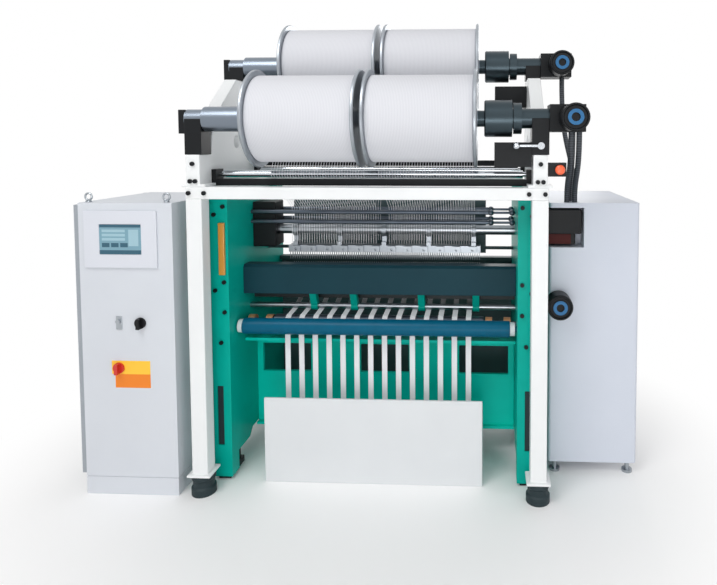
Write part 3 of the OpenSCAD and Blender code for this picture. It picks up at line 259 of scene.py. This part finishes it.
def darken_beyond(mat, x, code):
    """A second colour on all of a material right of one X of the line frame."""
    tree = mat.node_tree
    shader = tree.nodes["Principled BSDF"]
    place = tree.nodes["Texture Coordinate"].outputs["Object"]
    split = add(tree, "ShaderNodeSeparateXYZ", {"Vector": place})
    beyond = add(tree, "ShaderNodeMath", {0: split.outputs["X"]}, operation="GREATER_THAN")
    beyond.inputs[1].default_value = at(x, 0.0, 0.0).x
    mix = add(
        tree, "ShaderNodeMix", {"Factor": beyond.outputs["Value"]},
        data_type="RGBA", A=shader.inputs["Base Color"].default_value, B=srgb(code),
    )
    tree.links.new(mix.outputs["Result"], shader.inputs["Base Color"])


# Blued steel of the drive drum and disc at the right of each shaft: darker than the shaft
DRUM_LEFT = 552.0
darken_beyond(polished_steel, DRUM_LEFT, "#3F4A50")


def lit_glass(name, code, strength):
    """Glass of the screen, lit from behind in one colour."""
    mat = surface(name, code, 0.25)
    shader = mat.node_tree.nodes["Principled BSDF"]
    shader.inputs["Emission Color"].default_value = srgb(code)
    shader.inputs["Emission Strength"].default_value = strength
    return mat


# Screen glass: three blues that keep their colour in the shade
blue_glass = lit_glass("blue_glass", "#6F95A4", 0.22)
dark_glass = lit_glass("dark_glass", "#2A5466", 0.2)
pale_glass = lit_glass("pale_glass", "#92B2BD", 0.22)

# Finish of each piece that comes from CAD
FINISH = {
    white_powder_coat: ["posts", "top_rails", "left_stand_plate", "right_stand_plate"],
    cool_powder_coat: ["drive_housing"],
    rubber_and_slot_shade: ["vibration_mounts"],
    black_enamel: [
        "beam_bearings", "let_off_gear_units", "let_off_motors", "take_up_motor", "machine_feet",
        "swing_case", "tube_carriers", "pattern_drive",
    ],
    polished_steel: ["front_beam_shaft", "rear_beam_shaft"],
    oiled_steel: ["nip_roller", "reed_bars"],
    turned_aluminium: [
        "front_left_spool", "front_right_spool", "rear_left_spool", "rear_right_spool",
        "guide_bar_hangers", "front_guide_bar", "rear_guide_bar", "cabinet_modules",
    ],
    wound_polyester: ["front_yarn_packs", "rear_yarn_packs"],
    turquoise_enamel: ["left_side_wall", "right_side_wall", "rod_brackets"],
    bed_enamel_painted_light: ["bed_panel"],
    petrol_enamel: ["cover_beam"],
    inner_enamel_painted_shade: ["rear_panel", "rear_guard"],
    ground_rubber: ["front_roller"],
    moulded_abs: ["roller_end_caps", "fabric_bin"],
    turned_bronze: ["bronze_collars"],
    ground_steel: [
        "fabric_rod", "front_needle_bar", "rear_needle_bar", "swing_shaft", "lifting_eyes",
        "housing_feet",
    ],
    steel_painted_shade: ["needle_bed"],
    polished_chrome: ["front_guide_tube", "rear_guide_tube", "clamp_lever"],
    drawn_polyester: ["warp_yarns"],
    knitted_polyester: ["knitted_tapes"],
    grey_powder_coat: ["cabinet_body", "cable_trunk"],
    door_coat_painted_shade: ["cabinet_door"],
    grained_abs: ["operator_panel"],
    red_abs: ["main_switch"],
    black_nylon: ["selector_knob", "stop_station"],
    ribbed_pvc: ["motor_cables"],
    orange_abs: ["stop_button"],
}
for mat, names in FINISH.items():
    for name in names:
        slots = nodes[name].material_slots
        for slot in slots:
            slot.material = mat
        if not slots:
            nodes[name].data.materials.append(mat)

# Rolled and cast edges of the larger plain pieces: name, edge radius in mm
EDGES = {
    "posts": 4.0, "top_rails": 4.0, "cabinet_body": 5.0, "cabinet_door": 4.0,
    "fabric_bin": 3.0, "cover_beam": 3.0, "left_side_wall": 5.0, "right_side_wall": 5.0,
    "left_stand_plate": 4.0, "right_stand_plate": 4.0, "beam_bearings": 3.0,
    "let_off_gear_units": 5.0, "pattern_drive": 5.0, "operator_panel": 2.0, "stop_station": 4.0,
    "bed_panel": 3.0, "machine_feet": 2.0, "swing_case": 6.0, "tube_carriers": 2.0,
    "rear_panel": 4.0, "rod_brackets": 2.0, "drive_housing": 5.0,
}
WELD_GAP, EDGE_STEPS, EDGE_ANGLE = 1e-5, 2, 50.0  # metres, count, degrees
for name, radius in EDGES.items():
    piece = nodes[name]
    weld = piece.modifiers.new("weld", "WELD")
    weld.merge_threshold = WELD_GAP
    edge = piece.modifiers.new("edge", "BEVEL")
    edge.width = radius * MM
    edge.segments = EDGE_STEPS
    edge.limit_method = "ANGLE"
    edge.angle_limit = math.radians(EDGE_ANGLE)
    edge.harden_normals = False
    normal = piece.modifiers.new("normal", "WEIGHTED_NORMAL")
    normal.keep_sharp = True


# Pieces

def finish_mesh(name, bm, mat, body):
    """A bmesh in the shared frame becomes a piece that rides on a body."""
    bmesh.ops.recalc_face_normals(bm, faces=bm.faces)
    mesh = bpy.data.meshes.new(name)
    bm.to_mesh(mesh)
    bm.free()
    mesh.materials.append(mat)
    obj = bpy.data.objects.new(name, mesh)
    scene.collection.objects.link(obj)
    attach(obj, body)
    return obj


def add_box(bm, low, high, radius=0.0):
    """A box between two corners of the line frame, with round edges if radius is given."""
    lo, hi = at(*low), at(*high)
    size = hi - lo
    made = bmesh.ops.create_cube(bm, size=1.0)
    bmesh.ops.scale(bm, vec=size, verts=made["verts"])
    bmesh.ops.translate(bm, vec=(lo + hi) / 2, verts=made["verts"])
    if radius:
        edges = {e for v in made["verts"] for e in v.link_edges}
        bmesh.ops.bevel(
            bm, geom=list(edges), offset=radius * MM, segments=2, profile=0.5,
            affect="EDGES", material=-1,
        )


def add_disc(bm, x, y, z, radius, depth, sides=24):
    """A short round bar along Y whose front face is at y."""
    made = bmesh.ops.create_cone(
        bm, cap_ends=True, segments=sides,
        radius1=radius * MM, radius2=radius * MM, depth=depth * MM,
    )
    turn = Matrix.Rotation(math.radians(90.0), 3, "X")
    bmesh.ops.rotate(bm, cent=(0, 0, 0), matrix=turn, verts=made["verts"])
    bmesh.ops.translate(bm, vec=at(x, y + depth / 2, z), verts=made["verts"])


def add_ring(bm, x, y, z, inner, outer, depth, sides=40):
    """A flat ring about a line along Y whose front face is at y."""
    corners = [(inner, 0.0), (outer, 0.0), (outer, depth), (inner, depth)]
    loop = [bm.verts.new(at(x + r, y + d, z)) for r, d in corners]
    edges = [bm.edges.new((loop[i], loop[(i + 1) % 4])) for i in range(4)]
    bmesh.ops.spin(
        bm, geom=loop + edges, cent=at(x, y, z), axis=(0, 1, 0), angle=2.0 * math.pi,
        steps=sides, use_merge=True, use_duplicate=False,
    )


# Cables from the let-off gear units down to the drive housing's roof, ends in the line frame
CABLE_D, CABLE_STEPS = 28.0, 32
PULL_TOP, PULL_FOOT = 0.66, 0.45  # straight runs at the ends, as shares of the drop
CABLES = (
    ((1005.0, 36.0, 1846.0), (1026.0, 335.0, 1475.0)),
    ((1043.0, 36.0, 1846.0), (1068.0, 335.0, 1475.0)),
    ((1019.0, 90.0, 1846.0), (1046.0, 383.0, 1475.0)),
    ((1023.0, 570.0, 2164.0), (1080.0, 443.0, 1475.0)),
)


def cable_points(top, foot):
    """A smooth drop from one end to the other that leaves both ends straight."""
    drop = top[2] - foot[2]
    a, d = at(*top), at(*foot)
    b = a - Vector((0.0, 0.0, PULL_TOP * drop * MM))
    c = d + Vector((0.0, 0.0, PULL_FOOT * drop * MM))
    shares = [i / CABLE_STEPS for i in range(CABLE_STEPS + 1)]
    return [
        (1 - t) ** 3 * a + 3 * (1 - t) ** 2 * t * b + 3 * (1 - t) * t ** 2 * c + t ** 3 * d
        for t in shares
    ]


for i, (top, foot) in enumerate(CABLES):
    points = cable_points(top, foot)
    curve = bpy.data.curves.new(f"cable_{i + 1}", "CURVE")
    curve.dimensions = "3D"
    curve.bevel_depth = CABLE_D / 2.0 * MM
    curve.bevel_resolution = 4
    line = curve.splines.new("POLY")
    line.points.add(len(points) - 1)
    for point, place in zip(line.points, points):
        point.co = (*place, 1.0)
    curve.materials.append(ribbed_pvc)
    cable = bpy.data.objects.new(f"cable_{i + 1}", curve)
    scene.collection.objects.link(cable)
    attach(cable, "frame")
    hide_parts("motor_cables")

# Screen of the operator panel: a glass face in the recess, with plain blocks of its picture
SCREEN_X, SCREEN_Z = -1228.0, 1313.0
SCREEN_W, SCREEN_H = 212.0, 150.0
SCREEN_BACK, SCREEN_FACE, BLOCK_T = -6.0, -8.0, 0.3
bm = bmesh.new()
add_box(
    bm, (SCREEN_X - SCREEN_W / 2, SCREEN_FACE, SCREEN_Z - SCREEN_H / 2),
    (SCREEN_X + SCREEN_W / 2, SCREEN_BACK, SCREEN_Z + SCREEN_H / 2),
)
finish_mesh("screen", bm, blue_glass, "frame")


def screen_block(bm, left, top, wide, high):
    """A block of the screen's picture, from shares of its width and height."""
    x0 = SCREEN_X - SCREEN_W / 2 + left * SCREEN_W
    z1 = SCREEN_Z + SCREEN_H / 2 - top * SCREEN_H
    add_box(
        bm, (x0, SCREEN_FACE - BLOCK_T, z1 - high * SCREEN_H),
        (x0 + wide * SCREEN_W, SCREEN_FACE, z1),
    )


bm = bmesh.new()
screen_block(bm, 0.0, 0.0, 1.0, 0.10)
screen_block(bm, 0.0, 0.86, 1.0, 0.14)
for column in range(3):
    screen_block(bm, 0.06 + 0.22 * column, 0.62, 0.18, 0.14)
finish_mesh("screen_bars", bm, dark_glass, "frame")
bm = bmesh.new()
for row in range(3):
    screen_block(bm, 0.06, 0.17 + 0.14 * row, 0.56, 0.09)
screen_block(bm, 0.70, 0.17, 0.24, 0.55)
finish_mesh("screen_fields", bm, pale_glass, "frame")

# Main switch's bare plate in two colours, the paler one behind the handle
PLATE_T, PLATE_RIGHT, PLATE_SPLIT = 0.25, -1097.0, 626.0
bm = bmesh.new()
add_box(bm, (-1279.0, -PLATE_T, 556.0), (PLATE_RIGHT, 0.0, PLATE_SPLIT))
finish_mesh("switch_plate", bm, orange_film, "frame")
bm = bmesh.new()
add_box(bm, (-1296.0, -PLATE_T, PLATE_SPLIT), (PLATE_RIGHT, 0.0, 695.0))
finish_mesh("switch_label", bm, yellow_film, "frame")

# Key lock beside the selector: a plate with round edges and a barrel above its middle
LOCK_X, LOCK_Z, LOCK_W, LOCK_H, LOCK_T = -1250.0, 890.0, 30.0, 68.0, 5.0
BARREL_R, BARREL_L, BARREL_UP = 11.0, 11.0, 8.0
bm = bmesh.new()
add_box(
    bm, (LOCK_X - LOCK_W / 2, -LOCK_T, LOCK_Z - LOCK_H / 2),
    (LOCK_X + LOCK_W / 2, 0.0, LOCK_Z + LOCK_H / 2), radius=2.0,
)
add_disc(bm, LOCK_X, -LOCK_T - BARREL_L, LOCK_Z + BARREL_UP, BARREL_R, BARREL_L)
finish_mesh("key_lock", bm, ground_steel, "frame")

# Amber light bar on the left wall's front edge
WALL_FRONT = 150.0
LIGHT_T = 16.0
bm = bmesh.new()
add_box(bm, (-800.0, WALL_FRONT - LIGHT_T, 1104.0), (-768.0, WALL_FRONT, 1378.0), radius=3.0)
finish_mesh("light_bar", bm, amber_acrylic, "frame")

# Screw heads on the stand's corners and on the side walls' front edges: face they sit on, places
HEAD_R, HEAD_T, HEAD_SIDES = 11.0, 9.0, 16
SCREWS = {
    "stand_screws": (0.0, (
        (800.0, 1545.0), (878.0, 1545.0), (842.0, 1604.0), (868.0, 1604.0), (855.0, 1690.0),
    )),
    "wall_screws": (WALL_FRONT, (
        (778.0, 1462.0), (826.0, 1420.0), (778.0, 1064.0), (826.0, 1020.0), (778.0, 905.0),
        (800.0, 742.0),
    )),
}
for name, (face, places) in SCREWS.items():
    bm = bmesh.new()
    for side in (-1.0, 1.0):
        for x, z in places:
            add_disc(bm, side * x, face - HEAD_T, z, HEAD_R, HEAD_T, HEAD_SIDES)
    finish_mesh(name, bm, black_enamel, "frame")

# Dark blocks in the slots of the side walls' front edges: painted shade in these recesses
SLOT_LEFTS, SLOT_W = (-828.5, 795.5), 33.0
SLOT_Y, SLOT_Z = (155.0, 179.5), (188.5, 507.5)
bm = bmesh.new()
for left in SLOT_LEFTS:
    add_box(
        bm, (left, SLOT_Y[0], SLOT_Z[0]), (left + SLOT_W, SLOT_Y[1], SLOT_Z[1]), radius=2.0
    )
finish_mesh("slot_painted_shade", bm, rubber_and_slot_shade, "frame")

# Blue rings on the motors' faces
MOTORS = ((1003.0, -125.0, 1912.0), (1003.0, 385.0, 2230.0), (976.0, 158.0, 945.0))
RING_IN, RING_OUT, RING_T, RING_GAP = 20.5, 37.0, 3.0, 0.2
bm = bmesh.new()
for x, y, z in MOTORS:
    add_ring(bm, x, y - RING_T, z, RING_IN, RING_OUT, RING_T - RING_GAP)
finish_mesh("motor_rings", bm, anodised_aluminium, "frame")

# Red lower panel of the pattern drive
bm = bmesh.new()
add_box(bm, (905.0, 306.0, 1252.0), (1046.0, 309.0, 1306.0), radius=1.0)
finish_mesh("pattern_panel", bm, red_enamel, "frame")

# Knitted tapes: down between the needle bars, under the fabric rod, over the nip roller and into
# the bin. NIP and ROD are Y, Z and radius, the turns are degrees
TAPE_N, TAPE_PITCH, TAPE_W, TAPE_T, TAPE_GAP = 14, 76.5, 29.0, 1.2, 0.6
TAPE_OFF = TAPE_GAP + TAPE_T / 2.0
NEEDLE_Y, TAPE_TOP, TAPE_BEND = 543.0, 1083.0, 894.0
NIP, ROD = (337.0, 802.0, 40.0), (430.0, 868.0, 16.0)
NIP_TURN, ROD_TURN = (80.0, 180.0), (-62.0, -100.0)
NIP_STEPS, BEND_STEPS = 14, 6
FALL_Y = NIP[0] - NIP[2] - TAPE_OFF
FOLD_R, FOLD_Z, FOLD_N, FOLD_L, FOLD_IN, TURN_R = 26.0, 52.0, 5, 104.0, 16.0, 4.0


def arc(centre, radius, start, end, steps):
    """Points [y, z] on a round turn of a path."""
    turns = [math.radians(start + (end - start) * (i / steps)) for i in range(steps + 1)]
    return [(centre[0] + radius * math.cos(a), centre[1] + radius * math.sin(a)) for a in turns]


def tape_path():
    """The middle of a tape as points [y, z], with its folds in the bin."""
    path = [(NEEDLE_Y, TAPE_TOP), (NEEDLE_Y, TAPE_BEND)]
    path += arc(ROD, ROD[2] + TAPE_OFF, *ROD_TURN, BEND_STEPS)
    path += arc(NIP, NIP[2] + TAPE_OFF, *NIP_TURN, NIP_STEPS)
    path += arc((FALL_Y + FOLD_R, FOLD_Z + FOLD_R), FOLD_R, 180.0, 270.0, BEND_STEPS)
    near, z = FALL_Y + FOLD_IN, FOLD_Z
    for i in range(FOLD_N - 1):
        away = i % 2 == 0
        y = near + FOLD_L if away else near
        turn = (90.0, -90.0) if away else (90.0, 270.0)
        path += arc((y, z - TURN_R), TURN_R, *turn, BEND_STEPS)
        z -= 2.0 * TURN_R
    return path + [(near + FOLD_L, z)]


TAPE_PATH = tape_path()
for i in range(TAPE_N):
    left = (i - (TAPE_N - 1) / 2.0) * TAPE_PITCH - TAPE_W / 2.0
    bm = bmesh.new()
    verts = [bm.verts.new(at(left, y, z)) for y, z in TAPE_PATH]
    edges = [bm.edges.new(pair) for pair in zip(verts, verts[1:])]
    made = bmesh.ops.extrude_edge_only(bm, edges=edges)
    moved = [v for v in made["geom"] if isinstance(v, bmesh.types.BMVert)]
    bmesh.ops.translate(bm, vec=(TAPE_W * MM, 0.0, 0.0), verts=moved)
    bmesh.ops.recalc_face_normals(bm, faces=bm.faces[:])
    bmesh.ops.solidify(bm, geom=bm.faces[:], thickness=TAPE_T * MM)
    tape = finish_mesh(f"tape_{i + 1}", bm, knitted_polyester, "frame")
    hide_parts("knitted_tapes")

# Pull handle on the cabinet's door
bm = bmesh.new()
add_box(bm, (-1484.0, 60.0, 760.0), (-1476.0, 90.0, 900.0), radius=3.0)
finish_mesh("door_handle", bm, black_nylon, "door")

# Floor and backdrop

WHITE = (1.0, 1.0, 1.0, 1.0)
FLOOR_HALF, FLOOR_DROP = 40.0, 0.0005  # metres
FADE_NEAR, FADE_FAR = 1.0, 2.3  # metres from the machine's middle
ROOM_LIGHT = 0.40


def sees_backdrop(tree):
    """1 on rays that show the backdrop: straight, in a reflection or through glass."""
    path = add(tree, "ShaderNodeLightPath").outputs
    mirrored = add(
        tree, "ShaderNodeMath", {0: path["Is Glossy Ray"], 1: path["Is Transmission Ray"]},
        operation="MAXIMUM",
    )
    either = add(
        tree, "ShaderNodeMath", {0: path["Is Camera Ray"], 1: mirrored.outputs["Value"]},
        operation="MAXIMUM",
    )
    return either.outputs["Value"]


def fading_floor(name, code, near, far):
    """A matt painted floor that turns plain white between two distances in metres."""
    mat = surface(name, code, 0.6)
    tree = mat.node_tree
    place = tree.nodes["Texture Coordinate"].outputs["Object"]
    length = add(tree, "ShaderNodeVectorMath", {0: place}, operation="LENGTH")
    fade = add(
        tree, "ShaderNodeMapRange", {"Value": length.outputs["Value"]},
        interpolation_type="SMOOTHSTEP", From_Min=near, From_Max=far,
    )
    share = add(
        tree, "ShaderNodeMath", {0: fade.outputs["Result"], 1: sees_backdrop(tree)},
        operation="MULTIPLY",
    )
    plain = add(tree, "ShaderNodeEmission", Color=WHITE, Strength=1.0)
    blend = add(tree, "ShaderNodeMixShader", {
        0: share.outputs["Value"],
        1: tree.nodes["Principled BSDF"].outputs["BSDF"],
        2: plain.outputs["Emission"],
    })
    tree.links.new(blend.outputs["Shader"], tree.nodes["Material Output"].inputs["Surface"])
    return mat


# Painted floor: white, with soft shadows near the machine
bm = bmesh.new()
bmesh.ops.create_grid(bm, x_segments=1, y_segments=1, size=FLOOR_HALF)
floor_mesh = bpy.data.meshes.new("floor")
bm.to_mesh(floor_mesh)
bm.free()
floor = bpy.data.objects.new("floor", floor_mesh)
floor.location = (0.0, 0.0, -FLOOR_DROP)
floor_mesh.materials.append(fading_floor("painted_floor", "#FFFFFF", FADE_NEAR, FADE_FAR))
scene.collection.objects.link(floor)

# White room: it lights the machine less than the backdrop shows
world = bpy.data.worlds.new("studio")
scene.world = world
world.use_nodes = True
tree = world.node_tree
room = tree.nodes["Background"]
room.inputs["Color"].default_value = WHITE
room.inputs["Strength"].default_value = ROOM_LIGHT
clear = add(tree, "ShaderNodeBackground", Color=WHITE, Strength=1.0)
choose = add(tree, "ShaderNodeMixShader", {
    0: sees_backdrop(tree), 1: room.outputs["Background"], 2: clear.outputs["Background"],
})
tree.links.new(choose.outputs["Shader"], tree.nodes["World Output"].inputs["Surface"])


def softbox(name, place, target, size, power):
    """A square area light that faces a point."""
    data = bpy.data.lights.new(name, "AREA")
    data.shape = "SQUARE"
    data.size = size
    data.energy = power
    obj = bpy.data.objects.new(name, data)
    obj.location = place
    obj.rotation_euler = (Vector(target) - Vector(place)).to_track_quat("-Z", "Y").to_euler()
    scene.collection.objects.link(obj)


# Place and target in metres, size in metres, power in watts
softbox("key", (-1.6, -3.4, 5.6), (0.0, 0.0, 1.2), 2.6, 135.0)
softbox("fill", (3.6, -4.2, 3.2), (0.2, 0.0, 1.1), 2.6, 45.0)
softbox("front", (0.4, -4.6, 0.7), (0.0, 0.5, 0.6), 1.6, 36.0)
softbox("rear", (0.8, 4.9, 3.0), (0.0, 0.2, 1.1), 2.6, 60.0)

scene.view_settings.view_transform = "Standard"
